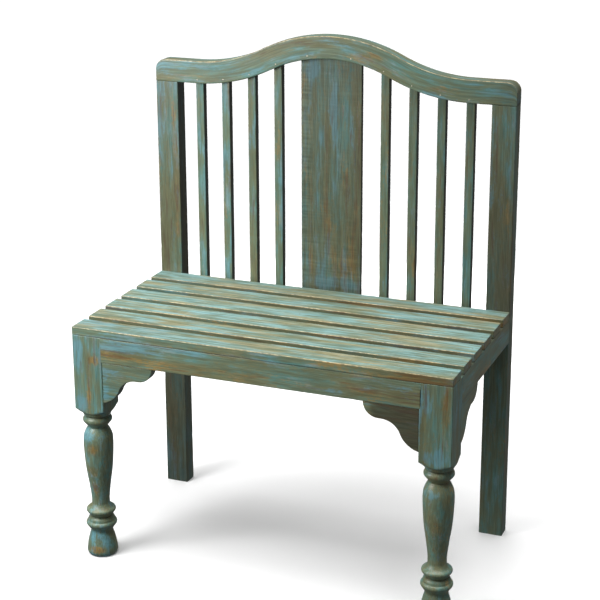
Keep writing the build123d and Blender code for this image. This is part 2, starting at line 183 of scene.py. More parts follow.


# ================================================================ where the paint differs

# Each accent is (node, centre in mm, reach in mm, field, strength).
# The fields are warm, blue, dirt and painted shade, and pale wash with painted top light.
WARM, BLUE, DIRT_AND_SHADE, PALE_AND_TOP_LIGHT = range(4)
ACCENTS = [
    ("seat_slat_1", (-335, -176, 478), (34, 14, 5), BLUE, 0.30),
    ("seat_slat_1", (-235, -168, 478), (45, 10, 5), BLUE, 0.26),
    ("seat_slat_1", (-265, -206, 468), (60, 6, 8), BLUE, 0.34),
    ("seat_slat_1", (320, -206, 468), (55, 6, 9), WARM, 0.34),
    ("seat_slat_3", (150, -40, 478), (90, 8, 5), WARM, 0.22),
    ("seat_slat_5", (-250, 80, 478), (40, 16, 5), WARM, 0.16),
    ("front_apron", (-285, -200, 434), (62, 60, 9), WARM, 0.38),
    ("front_apron", (-120, -200, 432), (120, 60, 8), WARM, 0.15),
    ("front_apron", (-200, -200, 457), (110, 60, 7), BLUE, 0.30),
    ("front_apron", (-230, -200, 445), (100, 60, 5), BLUE, 0.14),
    ("front_apron", (240, -200, 425), (80, 60, 8), WARM, 0.16),
    ("front_leg_left", (-366, -206, 430), (9, 12, 30), BLUE, 0.22),
    ("front_leg_left", (-342, -206, 375), (7, 12, 55), WARM, 0.26),
    ("front_leg_left", (-350, -206, 440), (30, 12, 8), BLUE, 0.12),
    ("front_leg_left", (-330, -206, 415), (12, 12, 9), WARM, 0.30),
    ("front_leg_left", (-358, -206, 325), (14, 12, 14), BLUE, 0.32),
    ("front_leg_left", (-320, -206, 318), (8, 12, 18), BLUE, 0.30),
    ("front_leg_left", (-350, -200, 254), (24, 24, 8), BLUE, 0.36),
    ("front_leg_left", (-344, -204, 230), (12, 14, 10), WARM, 0.34),
    ("front_leg_left", (-344, -204, 180), (12, 14, 12), WARM, 0.28),
    ("front_leg_left", (-342, -204, 145), (7, 14, 15), WARM, 0.32),
    ("front_leg_left", (-344, -204, 16), (18, 16, 7), WARM, 0.36),
    ("front_leg_left", (-350, -204, 42), (20, 20, 10), BLUE, 0.22),
    ("front_leg_left", (-344, -204, 2), (30, 30, 4), BLUE, 0.30),
    ("front_leg_right", (316, -206, 385), (5, 12, 60), BLUE, 0.32),
    ("front_leg_right", (336, -206, 430), (9, 12, 26), BLUE, 0.20),
    ("front_leg_right", (364, -206, 425), (7, 12, 40), WARM, 0.40),
    ("front_leg_right", (340, -206, 324), (24, 12, 14), BLUE, 0.34),
    ("front_leg_right", (336, -200, 252), (24, 24, 9), BLUE, 0.34),
    ("front_leg_right", (344, -204, 190), (12, 14, 20), WARM, 0.22),
    ("front_leg_right", (344, -204, 16), (18, 16, 7), WARM, 0.22),
    ("bracket_front_left", (-290, -192, 398), (34, 30, 6), BLUE, 0.24),
    ("bracket_front_left", (-308, -192, 370), (5, 30, 30), BLUE, 0.30),
    ("bracket_front_right", (222, -192, 409), (16, 30, 6), BLUE, 0.40),
    ("rear_post_left", (-360, 174, 872), (16, 12, 22), BLUE, 0.22),
    ("rear_post_left", (-372, 174, 830), (5, 12, 90), BLUE, 0.30),
    ("rear_post_left", (-337, 174, 640), (6, 12, 170), WARM, 0.24),
    ("rear_post_left", (-360, 174, 520), (8, 12, 60), WARM, 0.14),
    ("rear_post_right", (334, 174, 800), (5, 12, 120), BLUE, 0.20),
    ("back_splat", (6, 188, 830), (9, 12, 55), BLUE, 0.34),
    ("back_splat", (-24, 188, 790), (8, 12, 75), BLUE, 0.22),
    ("back_splat", (-45, 188, 925), (22, 12, 16), BLUE, 0.28),
    ("back_splat", (55, 188, 700), (8, 12, 190), WARM, 0.20),
    ("back_splat", (30, 188, 560), (26, 12, 60), WARM, 0.18),
    ("back_splat", (0, 188, 490), (60, 12, 12), BLUE, 0.28),
    ("crest_rail", (-362, 174, 912), (26, 12, 18), BLUE, 0.26),
    ("crest_rail", (-300, 174, 890), (40, 12, 6), BLUE, 0.16),
    ("crest_rail", (-30, 174, 975), (38, 12, 5), WARM, 0.34),
    ("crest_rail", (-150, 174, 955), (50, 12, 7), WARM, 0.18),
    ("crest_rail", (-240, 174, 908), (48, 12, 24), DIRT_AND_SHADE, 0.16),
    ("crest_rail", (-240, 174, 908), (48, 12, 24), WARM, 0.10),
    ("crest_rail", (80, 174, 958), (30, 12, 5), WARM, 0.26),
    ("crest_rail", (240, 174, 905), (40, 12, 7), WARM, 0.16),
]


def tint_at(node, place, normal, whim):
    """(warm, blue, dirt and painted shade, pale wash and painted top light) at one point of a member:
    habits of its kind, then its accents.
    """
    field = [0.03 * whim.x, 0.03 * whim.y, 0.0, 0.0]
    upward = smooth(0.3, 0.9, normal.z)
    downward = smooth(0.3, 0.9, -normal.z)
    sideways = smooth(0.5, 0.95, abs(normal.x))
    frontward = smooth(0.5, 0.95, -normal.y)
    rightness = smooth(-0.35, 0.35, place.x)
    lowness = smooth(CREST_LOW.z, SEAT_TOP, place.z)
    # painted shade with dust: every underside is darker
    field[DIRT_AND_SHADE] += 0.45 * downward
    if node.startswith("seat_slat"):
        in_a_gap = 0.0 if node.endswith("1") else 1.0
        # pale wash on the slat tops: dry-brushed streaks, and painted top light that makes the tops
        # lighter than the fronts
        field[PALE_AND_TOP_LIGHT] += 0.8 * upward
        field[WARM] += (0.12 * rightness + 0.10 * in_a_gap - 0.02) * (1 - upward)
        field[DIRT_AND_SHADE] += 0.25 * upward * (1 - rightness) * smooth(-0.05, -0.18, place.y)
        # painted shade on the slat faces that stand in the gaps between slats
        field[DIRT_AND_SHADE] += 0.30 * in_a_gap * (1 - upward) * (1 - sideways)
    if node.startswith("front_apron"):
        field[WARM] += 0.05
    if node.startswith(("side_apron", "front_apron", "rear_rail", "seat_bearer")):
        # painted shade on the tops of the aprons, rail and bearer, under the slats
        field[DIRT_AND_SHADE] += 0.75 * upward
    if node.startswith(("front_leg", "bracket_front_left")):
        field[DIRT_AND_SHADE] += 0.19 * smooth(0.29, 0.33, place.z)
    if node.startswith(("spindle", "back_splat", "rear_post")) and place.z > SEAT_UNDER:
        outer = node.startswith("rear_post") and place.x * normal.x > 0
        # side faces above the seat painted dark: a browner ground colour, and painted shade
        field[DIRT_AND_SHADE] += (0.42 if outer else 0.86) * sideways
    if node.startswith("spindle"):
        field[BLUE] += (0.10 - 0.14 * rightness) * (1 - 0.5 * lowness)
        # painted shade: the spindle fronts darker towards the right
        field[DIRT_AND_SHADE] += (0.37 * rightness - 0.03) * frontward
    if node.startswith("back_splat"):
        field[WARM] += 0.06 * lowness * frontward
        field[DIRT_AND_SHADE] += (0.42 + 0.04 * lowness) * frontward
    if node.startswith("rear_post"):
        above = smooth(SEAT_UNDER - 0.02, SEAT_TOP, place.z)
        field[WARM] += above * (0.03 + 0.07 * lowness)
        # painted shade on the rear legs under the seat
        field[DIRT_AND_SHADE] += (0.72 - 0.34 * rightness * frontward) * (1 - above) * (1 - 0.3 * sideways)
        # a darker tone on the post fronts above the seat, with painted shade growing to the right and
        # lower down
        field[DIRT_AND_SHADE] += above * (0.32 + rightness * (0.08 + 0.34 * lowness)) * frontward
    if node.startswith("crest"):
        # painted top light: the crest's top face is lighter
        field[PALE_AND_TOP_LIGHT] += 0.15 * upward
        field[BLUE] += 0.03
        # painted shade: the crest is darker towards its right end
        field[DIRT_AND_SHADE] += 0.44 * smooth(0.15, 0.42, place.x)
    if node.startswith("bracket_front_right"):
        field[WARM] += 0.16
        field[BLUE] -= 0.15
        # the right front bracket is darker and browner, all but the tip of its lobe
        field[DIRT_AND_SHADE] += 0.70 * smooth(0.212, 0.235, place.x)
    for member, centre, reach, kind, strength in ACCENTS:
        if node == member:
            away = sum(((place[i] / MM - centre[i]) / reach[i]) ** 2 for i in range(3))
            field[kind] += strength / (1 + away**3)
    return field


def ribs_at(node, place, normal):
    """How clearly the ribs left by the planer show across the grain: most on the splat."""
    if node.startswith("back_splat"):
        left_edge = smooth(-0.035, -0.055, place.x)
        foot = smooth(SEAT_TOP + 0.16, SEAT_TOP + 0.05, place.z)
        return 0.35 + max(0.65 * left_edge, 0.4 * foot)
    if node.startswith("seat_slat"):
        return 0.30 * smooth(0.3, 0.9, normal.z)
    return 0.12


def arris_rub(node, normal):
    """How much of an arris is rubbed bare: most where hands and legs brush along it."""
    front_top = normal.y < -0.2 and normal.z > 0.2
    if node.startswith(("seat_slat", "crest")):
        return 1.0 if front_top else 0.45
    if node.startswith(("front_apron", "side_apron", "seat_bearer")):
        return 0.2
    return 0.42


# ================================================================ boards


def side_cuts(length):
    """Fractions along a straight side: near each end, where wear fades out, and evenly between."""
    near = min(RUB_REACH / length, 0.3)
    inner = max(1, round((1 - 2 * near) * length / STEP))
    return [near + (1 - 2 * near) * i / inner for i in range(inner + 1)]


def rounded_section(width, height, easing):
    """Points round a rectangle: (u, v, outward direction, 1 on an arris and 0 elsewhere)."""
    corners = [(1, 1, 0), (-1, 1, 90), (-1, -1, 180), (1, -1, 270)]
    sides = [width, height, width, height]
    ring = []
    for (a, b, turn), side in zip(corners, sides):
        centre = (a * (width / 2 - easing), b * (height / 2 - easing))
        for i in range(CORNER_CUTS + 1):
            angle = math.radians(turn + 90 * i / CORNER_CUTS)
            out = (math.cos(angle), math.sin(angle))
            ring.append((centre[0] + easing * out[0], centre[1] + easing * out[1], out, 1.0))
        angle = math.radians(turn + 90)
        out = (math.cos(angle), math.sin(angle))
        along = (-out[1], out[0])
        start = (centre[0] + easing * out[0], centre[1] + easing * out[1])
        run = side - 2 * easing
        for f in side_cuts(run):
            ring.append((start[0] + along[0] * run * f, start[1] + along[1] * run * f, out, 0.0))
    return ring


def board(node, low, high, along, easing, ends=END_EASING):
    """A straight member with eased, slightly chipped arrises and hand-planed, faintly wavy faces."""
    skin = Skin(node)
    u_axis, v_axis = [(Y, Z), (Z, X), (X, Y)][along]
    width, height = high[u_axis] - low[u_axis], high[v_axis] - low[v_axis]
    middle = (Vector(low) + Vector(high)) / 2
    ring_plan = rounded_section(width, height, easing)

    def lay_ring(station, inset):
        ring = []
        for i, (u, v, out, arris) in enumerate(ring_plan):
            sink = WAVINESS * noise.noise(Vector((station * 9, u * 30, v * 30)) + skin.shift)
            chip = noise.noise(Vector((station * 55, i // (len(ring_plan) // 4) * 7.3, 0)) + skin.shift)
            sink += arris * CHIP_DEPTH * smooth(0.35, 0.75, chip)
            sink = max(sink, 0) + inset
            place = middle.copy()
            place[along] = station
            place[u_axis] += u - sink * out[0]
            place[v_axis] += v - sink * out[1]
            normal = Vector((0, 0, 0))
            normal[u_axis], normal[v_axis] = out
            rub = arris_rub(node, normal) * arris if not inset else 0.45
            ring.append(skin.point(place, normal, (station, u, v), rub))
        return ring

    def lay_cap(station, direction, rim):
        face = Vector((0, 0, 0))
        face[along] = direction
        inner = []
        for u, v, out, _ in ring_plan:
            place = middle.copy()
            place[along] = station
            place[u_axis] += u - math.copysign(min(RUB_REACH, abs(u) * 0.5), u)
            place[v_axis] += v - math.copysign(min(RUB_REACH, abs(v) * 0.5), v)
            inner.append(skin.point(place, face, (station, u * 0.9, v * 0.9), 0.0))
        place = middle.copy()
        place[along] = station
        pole = skin.point(place, face, (station, 0, 0), 0.0)
        skin.join(rim, inner)
        skin.fan(inner, pole, direction < 0)

    run = high[along] - low[along] - 2 * ends
    count = max(2, round(run / STEP))
    bit = ends * EASING_MIDDLE
    plan = [(low[along], ends), (low[along] + bit, bit)]
    plan += [(low[along] + ends + run * i / count, 0.0) for i in range(count + 1)]
    plan += [(high[along] - bit, bit), (high[along], ends)]
    rings = [lay_ring(station, inset) for station, inset in plan]
    for first, second in zip(rings, rings[1:]):
        skin.join(first, second)
    lay_cap(low[along], -1, rings[0])
    lay_cap(high[along], 1, rings[-1])
    skin.piece()


# ================================================================ the crest rail


def crest_top(x):
    """Height of the crest's upper edge: a crown, a hollow on each side, flat ends, round corners."""
    x = abs(x)
    if x <= CREST_HALF_ARCH / 2:
        return CROWN_CENTRE + math.sqrt(CREST_RADIUS**2 - x**2)
    if x < CREST_HALF_ARCH:
        return HOLLOW_CENTRE - math.sqrt(CREST_RADIUS**2 - (CREST_HALF_ARCH - x) ** 2)
    corner = x - (CREST_HIGH.x - CREST_CORNER)
    if corner <= 0:
        return CREST_END_TOP
    return CREST_END_TOP - CREST_CORNER + math.sqrt(max(0.0, CREST_CORNER**2 - corner**2))


def crest_under(x):
    """Height of the crest's lower edge, parallel to the upper one."""
    x = abs(x)
    crown, hollow = CREST_RADIUS - CREST_BAND, CREST_RADIUS + CREST_BAND
    if x <= crown * math.sin(CREST_TURN):
        return CROWN_CENTRE + math.sqrt(crown**2 - x**2)
    if x < CREST_HALF_ARCH:
        return HOLLOW_CENTRE - math.sqrt(hollow**2 - (CREST_HALF_ARCH - x) ** 2)
    return CREST_LOW.z


def crest_stations():
    """Places of the rings along the crest, closer together round its corners."""
    half = CREST_HIGH.x - CREST_CORNER
    count = round(2 * half / STEP)
    straight = [-half + 2 * half * i / count for i in range(count + 1)]
    corner = [half + CREST_CORNER * math.sin(math.radians(a)) for a in (12, 24, 36, 48, 58, 67, 75, 81)]
    return [-x for x in reversed(corner)] + straight + corner


def crest_rail():
    """The serpentine top rail: one band of even depth, its long top arrises rubbed through."""
    node = "crest_rail"
    skin = Skin(node)
    thickness = CREST_HIGH.y - CREST_LOW.y
    middle_y = (CREST_HIGH.y + CREST_LOW.y) / 2
    plan = rounded_section(thickness, CREST_BAND, CREST_EASING)

    def lay_ring(x, inset, at):
        top, under = crest_top(x), crest_under(x)
        middle_z = (top + under) / 2
        squash = (top - under) / CREST_BAND
        slope = (crest_top(x + MM) - crest_top(x - MM)) / (2 * MM) if abs(x) < CREST_HALF_ARCH else 0
        ring = []
        for u, v, out, arris in plan:
            sink = WAVINESS * max(0, noise.noise(Vector((x * 9, u * 30, v * 30)) + skin.shift))
            chip = noise.noise(Vector((x * 50, out[0] * 3, out[1] * 3)) + skin.shift)
            sink += arris * CREST_CHIP_DEPTH * smooth(0.4, 0.8, chip) + inset
            place = Vector((
                at,
                middle_y + u - sink * out[0],
                middle_z + (v - sink * out[1]) * squash,
            ))
            normal = Vector((-slope * max(0, out[1]), out[0], out[1])).normalized()
            rub = arris_rub(node, Vector((0, out[0], out[1]))) * arris
            ring.append(skin.point(place, normal, (x, v, u), rub))
        return ring

    stations = crest_stations()
    end, end_easing = CREST_HIGH.x, 1.2 * MM
    rings = [lay_ring(stations[0], end_easing, -end)]
    rings += [lay_ring(x, 0.0, x) for x in stations]
    rings.append(lay_ring(stations[-1], end_easing, end))
    for first, second in zip(rings, rings[1:]):
        skin.join(first, second)
    for ring, side in ((rings[0], -1), (rings[-1], 1)):
        place = sum((skin.points[i] for i in ring), Vector()) / len(ring)
        pole = skin.point(place, Vector((side, 0, 0)), (place.x, 0, 0), 0.0)
        skin.fan(ring, pole, side < 0)
    skin.piece()


# ================================================================ brackets


def arc_points(start, via, end, count):
    """count + 1 points on the arc from start to end that passes through via, as (x, y) pairs."""
    ax, ay = start
    bx, by = via
    cx, cy = end
    d = 2 * (ax * (by - cy) + bx * (cy - ay) + cx * (ay - by))
    a2, b2, c2 = ax * ax + ay * ay, bx * bx + by * by, cx * cx + cy * cy
    ox = (a2 * (by - cy) + b2 * (cy - ay) + c2 * (ay - by)) / d
    oy = (a2 * (cx - bx) + b2 * (ax - cx) + c2 * (bx - ax)) / d
    radius = math.hypot(ax - ox, ay - oy)
    first = math.atan2(ay - oy, ax - ox)
    middle = (math.atan2(by - oy, bx - ox) - first) % math.tau
    last = (math.atan2(cy - oy, cx - ox) - first) % math.tau
    sweep = last if middle <= last else last - math.tau
    turns = [first + sweep * i / count for i in range(count + 1)]
    return [(ox + radius * math.cos(turn), oy + radius * math.sin(turn)) for turn in turns]


def tangent_arc_via(start, slope_degrees, end):
    """A point half way along the arc that leaves start at a slope and reaches end."""
    sx, sy = start
    ex, ey = end
    chord = math.hypot(ex - sx, ey - sy)
    chord_angle = math.atan2(ey - sy, ex - sx)
    turn = math.radians(slope_degrees) - chord_angle
    rise = chord / 2 * math.tan(turn / 2)
    mx, my = (sx + ex) / 2, (sy + ey) / 2
    return mx - rise * math.sin(chord_angle), my + rise * math.cos(chord_angle)


# In mm from the corner between leg and apron; the heart is where the faces' fans meet.
BRACKET_REACH, BRACKET_DROP, BRACKET_LOBE = 105, 82, 29
BRACKET_HEART = (22.0, -22.0)
BRACKET_FACE_CUTS = (18 * MM, 9 * MM)


def bracket_outline():
    """(reach, drop, 1 where it is seen) round one bracket, in mm from the corner it fills."""
    lobe = (BRACKET_REACH - BRACKET_LOBE, -BRACKET_LOBE)
    crook, hip = (70.0, -29.0), (33.5, -56.0)
    tail = (0.0, -BRACKET_DROP)
    diagonal = BRACKET_LOBE * math.sqrt(0.5)
    curve = arc_points((BRACKET_REACH, 0), (lobe[0] + diagonal, -diagonal), lobe, 9)
    curve += arc_points(crook, (47.0, -37.0), hip, 10)
    curve += arc_points(hip, tangent_arc_via(hip, -117.0, tail), tail, 9)[1:]
    seen = [(x, y, 1.0) for x, y in curve]
    up_leg = [(0.0, -BRACKET_DROP * (1 - i / 8), 0.0) for i in range(1, 9)]
    along_apron = [(BRACKET_REACH * i / 10, 0.0, 0.0) for i in range(1, 10)]
    return seen + up_leg + along_apron


def bracket(node, corner, reach_axis, reach_sign, low, high):
    """An ogee corner bracket. corner is where leg and apron meet; low and high bound its thickness."""
    skin = Skin(node)
    thick_axis = Y if reach_axis == X else X
    outline = bracket_outline()
    heart = BRACKET_HEART

    def lay(inward, depth, face, rub):
        ring = []
        for a, b, seen in outline:
            away = math.hypot(a - heart[0], b - heart[1])
            f = max(0.0, 1 - inward / MM / away)
            a2, b2 = heart[0] + (a - heart[0]) * f, heart[1] + (b - heart[1]) * f
            place = corner.copy()
            place[reach_axis] += reach_sign * a2 * MM
            place.z += b2 * MM
            place[thick_axis] = depth
            normal = Vector((0, 0, 0))
            if face:
                normal[thick_axis] = face
            else:
                normal[reach_axis], normal.z = reach_sign * (a - heart[0]) / away, (b - heart[1]) / away
            grain = (a2 * MM, b2 * MM, depth)
            ring.append(skin.point(place, normal, grain, 0.4 * rub * seen))
        return ring

    ease = BRACKET_EASING
    bit = ease * EASING_MIDDLE
    far, near = BRACKET_FACE_CUTS
    plan = [(far, low, -1, 0), (near, low, -1, 0), (ease + RUB_REACH, low, -1, 0)]
    plan += [(ease, low, -1, 1), (bit, low + bit, 0, 1), (0, low + ease, 0, 1)]
    plan += [(0, low + (high - low) * f, 0, 0) for f in (0.3, 0.5, 0.7)]
    plan += [(0, high - ease, 0, 1), (bit, high - bit, 0, 1), (ease, high, 1, 1)]
    plan += [(ease + RUB_REACH, high, 1, 0), (near, high, 1, 0), (far, high, 1, 0)]
    rings = [lay(*row) for row in plan]
    for first, second in zip(rings, rings[1:]):
        skin.join(first, second)
    for ring, depth, face in ((rings[0], low, -1), (rings[-1], high, 1)):
        place = corner.copy()
        place[reach_axis] += reach_sign * heart[0] * MM
        place.z += heart[1] * MM
        place[thick_axis] = depth
        normal = Vector((0, 0, 0))
        normal[thick_axis] = face
        pole = skin.point(place, normal, (heart[0] * MM, heart[1] * MM, depth), 0.0)
        skin.fan(ring, pole, face < 0)
    skin.piece()


# ================================================================ turned front legs


def flowing_curve(points, first_slope, last_slope, cuts):
    """A smooth curve through points with given end directions, each span cut into cuts parts."""
    spans = [math.dist(p, q) for p, q in zip(points, points[1:])]
    slopes = [first_slope]
    for i in range(1, len(points) - 1):
        reach = spans[i - 1] + spans[i]
        slopes.append(tuple((points[i + 1][k] - points[i - 1][k]) / reach for k in (0, 1)))
    slopes.append(last_slope)
    made = [points[0]]
    for i, span in enumerate(spans):
        for j in range(1, cuts + 1):
            t = j / cuts
            a, b = 2 * t**3 - 3 * t**2 + 1, (t**3 - 2 * t**2 + t) * span
            c, d = -2 * t**3 + 3 * t**2, (t**3 - t**2) * span
            made.append(tuple(
                a * points[i][k] + b * slopes[i][k] + c * points[i + 1][k] + d * slopes[i + 1][k]
                for k in (0, 1)
            ))
    return made


def leg_profile():
    """(radius, height) in mm up the turning, from the floor to where the block is whole."""
    foot = arc_points((25.5, 0), (28.8, 4), (29.9, 11), 5)
    foot += arc_points((29.9, 11), (26.8, 30.5), (21, 51), 12)[1:]
    low_bead = [(22.4, 53.3), (24.5, 56.3), (26.6, 59.4), (28.6, 62.5)]
    low_bead += arc_points((28.6, 62.5), (30.2, 67), (26.2, 72), 8)[1:]
    low_bead += arc_points((26.2, 72), (25.6, 76.5), (20.3, 81), 6)[1:]
    high_bead = [(22.1, 83.4), (23.9, 85.8), (25.6, 88.1), (27.4, 90.5)]
    high_bead += arc_points((27.4, 90.5), (28.8, 94.5), (26.4, 98), 7)[1:]
    cove = arc_points((26.4, 98), (21.2, 102), (17.6, 108), 6)[1:]
    belly = [(20.8, 148), (26.1, 186), (28.6, 222), (28.6, 246)]
    vase_points = [(17.6, 108), (17.7, 121), *belly, (25.6, 258.5), (18.2, 270)]
    vase = flowing_curve(vase_points, (0, 1), (-0.78, 0.62), 6)[1:]
    collar = [(20.2, 272.4), (22.1, 274.8), (24.1, 277.2), (26.0, 279.6)]
    collar += arc_points((26.0, 279.6), (28.3, 284.6), (24.2, 291.5), 10)[1:] + [(23.2, 294)]
    collar += arc_points((23.2, 294), (26.8, 296.8), (28, 301), 5)[1:]
    flare = [(28 + 33.5 * i / 16, 301 + 26 * i / 16) for i in range(1, 17)]
    return foot + low_bead + high_bead + cove + vase + collar + flare


def relief(profile, i, span=7.0, block_radius=31):
    """How far a profile point stands out from its neighbourhood, in mm."""
    near = [min(r, block_radius) for r, z in profile if abs(z - profile[i][1]) < span]
    return min(profile[i][0], block_radius) - sum(near) / len(near)


def turned_leg(node):
    """A front leg: turned foot, beads and vase under a square block with a lathe-cut shoulder."""
    low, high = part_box(node)
    centre = Vector(((low.x + high.x) / 2, (low.y + high.y) / 2, 0))
    width = high.x - low.x
    skin = Skin(node)
    section = rounded_section(width, width, POST_EASING)
    profile = leg_profile()
    turned_to = profile[-1][1] * MM

    def lay_ring(radius, z, bulge, inset=0.0):
        ring = []
        for i, (u, v, out, arris) in enumerate(section):
            full = math.hypot(u, v) - inset
            r = min(radius, full)
            square = r >= full - 1e-6
            angle = math.atan2(v, u)
            chip = noise.noise(Vector((z * 60, i // (len(section) // 4) * 5.1, 3)) + skin.shift)
            r -= arris * square * LEG_CHIP_DEPTH * smooth(0.35, 0.75, chip)
            place = Vector((centre.x + r * math.cos(angle), centre.y + r * math.sin(angle), z))
            if square:
                normal = Vector((out[0], out[1], 0))
                grain = (z, u, v)
                rub = 0.42 * arris
            else:
                normal = Vector((math.cos(angle), math.sin(angle), 0))
                grain = (z * 2.2, r * math.cos(angle), r * math.sin(angle))
                rub = smooth(0.2, 2.2, bulge) * 0.55
            number = skin.point(place, normal, grain, rub)
            # painted shade and grime in the hollows of the turning
            if not square and z < turned_to:
                skin.tint[number][DIRT_AND_SHADE] += 0.75 * smooth(0.8, 4.0, -bulge)
            ring.append(number)
        return ring

    rings = [lay_ring(r * MM, z * MM, relief(profile, i)) for i, (r, z) in enumerate(profile)]
    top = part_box(node)[1].z
    count = round((top - turned_to) / STEP)
    eased = top - FRAME_EASING
    for i in range(1, count + 1):
        rings.append(lay_ring(width, turned_to + (eased - turned_to) * i / count, 0))
    for drop, inset in ((0.3 * MM, 0.3 * MM), (0, FRAME_EASING), (0, 4.0 * MM)):
        rings.append(lay_ring(width, top - drop, 0, inset))
    for first, second in zip(rings, rings[1:]):
        skin.join(first, second)
    for ring, z, face in ((rings[0], 0.0, -1), (rings[-1], top, 1)):
        pole = skin.point(Vector((centre.x, centre.y, z)), Vector((0, 0, face)), (z, 0, 0), 0.0)
        skin.fan(ring, pole, face < 0)
    skin.piece()


# ================================================================ brads


def islands(node):
    """(lowest, highest) corner of each separate solid in a CAD node."""
    shell = bmesh.new()
    shell.from_mesh(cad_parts[node].data)
    bmesh.ops.remove_doubles(shell, verts=shell.verts, dist=1e-6)
    left = set(shell.verts)
    found = []
    while left:
        stack = [left.pop()]
        low, high = stack[0].co.copy(), stack[0].co.copy()
        while stack:
            vertex = stack.pop()
            low = Vector(map(min, low, vertex.co))
            high = Vector(map(max, high, vertex.co))
            for edge in vertex.link_edges:
                other = edge.other_vert(vertex)
                if other in left:
                    left.remove(other)
                    stack.append(other)
        found.append((low, high))
    shell.free()
    return sorted(found, key=lambda pair: tuple(round(c, 5) for c in pair[0]))


def brad_heads(node, facing, radius, material):
    """Low domed heads on short shanks, one for each brad of a CAD node, facing along one axis."""
    # (share of the head's radius, mm above the wood), from the shank's tip to near the crown
    profile = [(0.55, -6.0), (0.55, -0.6), (1.0, -0.3), (1.0, 0.08), (0.82, 0.26), (0.45, 0.38)]
    crown = 0.42
    facing = Vector(facing)
    across = facing.orthogonal().normalized()
    other = facing.cross(across)
    points, faces = [], []
    sides = 12
    for low, high in islands(node):
        centre = (low + high) / 2
        reach = abs((high - low).dot(facing)) / 2
        face = centre + facing * reach
        start = len(points)
        for r, h in profile:
            for i in range(sides):
                a = math.tau * i / sides
                spoke = across * math.cos(a) + other * math.sin(a)
                points.append(face + spoke * radius * r + facing * h * MM)
        points.append(face + facing * profile[0][1] * MM)
        points.append(face + facing * crown * MM)
        for k in range(len(profile) - 1):
            for i in range(sides):
                j = (i + 1) % sides
                a, b = start + k * sides, start + (k + 1) * sides
                faces.append((a + i, a + j, b + j, b + i))
        last = start + (len(profile) - 1) * sides
        for i in range(sides):
            j = (i + 1) % sides
            faces.append((start + j, start + i, last + sides))
            faces.append((last + i, last + j, last + sides + 1))
    mesh = bpy.data.meshes.new(node + "_heads")
    mesh.from_pydata(points, [], faces)
    face_outwards(mesh)
    mesh.shade_smooth()
    mesh.materials.append(material)
    made = bpy.data.objects.new(node + "_heads", mesh)
    bpy.context.scene.collection.objects.link(made)
    settle(made, node)


# ================================================================ node trees


class Tree:
    """Short calls that add shader nodes to one material."""

    def __init__(self, name):
        self.material = bpy.data.materials.new(name)
        self.material.use_nodes = True
        self.tree = self.material.node_tree
        self.tree.nodes.clear()

    def add(self, kind, inputs=None, **settings):
        node = self.tree.nodes.new(kind)
        for key, value in settings.items():
            setattr(node, key, value)
        for key, value in (inputs or {}).items():
            self.feed(node.inputs[key], value)
        return node

    def feed(self, socket, value):
        if isinstance(value, bpy.types.NodeSocket):
            self.tree.links.new(value, socket)
        else:
            socket.default_value = value

    def math(self, operation, a, b=0.0, clamp=False):
        return self.add("ShaderNodeMath", {0: a, 1: b}, operation=operation, use_clamp=clamp).outputs[0]

    def total(self, *terms):
        """The sum of (socket, weight) pairs and plain numbers."""
        value = None
        for term in terms:
            part = self.math("MULTIPLY", term[0], term[1]) if isinstance(term, tuple) else term
            value = part if value is None else self.math("ADD", value, part)
        return value

    def step(self, value, low, high):
        """0 below low, 1 above high, smooth between."""
        found = self.add(
            "ShaderNodeMapRange",
            {"Value": value, "From Min": low, "From Max": high},
            interpolation_type="SMOOTHSTEP",
        )
        return found.outputs[0]

    def mix(self, factor, a, b, blend="MIX"):
        node = self.add("ShaderNodeMix", data_type="RGBA", blend_type=blend)
        self.feed(node.inputs[0], factor)
        self.feed(node.inputs[6], a)
        self.feed(node.inputs[7], b)
        return node.outputs[2]

    def noise(self, coordinates, scale, place, detail=2.0, roughness=0.5, distortion=0.0):
        """Noise stretched by scale, in cycles per metre along each axis, moved by place."""
        moved = self.add(
            "ShaderNodeVectorMath",
            {0: coordinates, 1: scale, 2: (place, place * 1.7, place * 0.6)},
            operation="MULTIPLY_ADD",
        )
        inputs = {
            "Vector": moved.outputs[0],
            "Scale": 1.0,
            "Detail": detail,
            "Roughness": roughness,
            "Distortion": distortion,
        }
        return self.add("ShaderNodeTexNoise", inputs).outputs["Fac"]

    def attribute(self, name):
        return self.add("ShaderNodeAttribute", attribute_name=name)

    def surface(self, color, roughness, normal, metallic=0.0, specular=0.5):
        inputs = {
            "Base Color": color,
            "Roughness": roughness,
            "Normal": normal,
            "Metallic": metallic,
            "Specular IOR Level": specular,
        }
        shader = self.add("ShaderNodeBsdfPrincipled", inputs)
        output = self.add("ShaderNodeOutputMaterial")
        self.tree.links.new(shader.outputs[0], output.inputs["Surface"])
        return self.material


def rgb(red, green, blue):
    """A colour given as it looks on screen, 0 to 255, turned into linear light."""
    return tuple(
        c / 12.92 if c <= 0.04045 else ((c + 0.055) / 1.055) ** 2.4
        for c in (red / 255, green / 255, blue / 255)
    ) + (1.0,)


# Paint colours, from the general coat to the rubbed and the dirty, and the dark ground colour that is
# also painted shade
SAGE = rgb(122, 138, 112)
TEAL = rgb(98, 142, 134)
OLIVE = rgb(128, 126, 88)
BROWN = rgb(92, 72, 48)
OCHRE = rgb(170, 140, 80)
SKY = rgb(112, 164, 176)
CREAM = rgb(228, 206, 156)
# pale wash colours, also used as painted top light
PALE_WASH_AND_TOP_LIGHT = rgb(140, 176, 174)
PALE_CREAM_AND_TOP_LIGHT = rgb(158, 154, 122)
# dark ground colour, also used as painted shade
GROUND_AND_SHADE = rgb(50, 45, 38)
WOOD = rgb(134, 98, 58)


